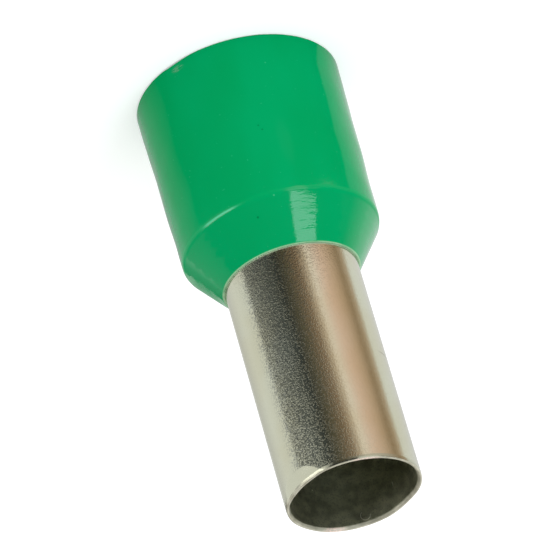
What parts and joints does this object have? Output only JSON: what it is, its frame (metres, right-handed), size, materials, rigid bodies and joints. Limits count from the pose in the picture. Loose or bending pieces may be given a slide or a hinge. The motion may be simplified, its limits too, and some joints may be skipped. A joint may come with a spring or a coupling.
{
  "type": "insulated wire ferrule",
  "caption": "Insulated wire-end ferrule: a thin tinned metal sleeve held in a green moulded plastic collar with a wide round mouth that takes the wire's insulation.",
  "frame": {"origin": "centre of the collar's mouth, in the plane that the part stands on", "axes": "+Z along the axis, from the collar's mouth to the sleeve's free end; the part is round, so X and Y are free"},
  "size_m": [0.0096, 0.0096, 0.0217],
  "materials": {
    "tinned_copper": "satin",
    "green_plastic": "satin"
  },
  "bodies": {
    "root": {"metal_sleeve": "tinned_copper", "insulating_collar": "green_plastic"}
  },
  "joints": []
}
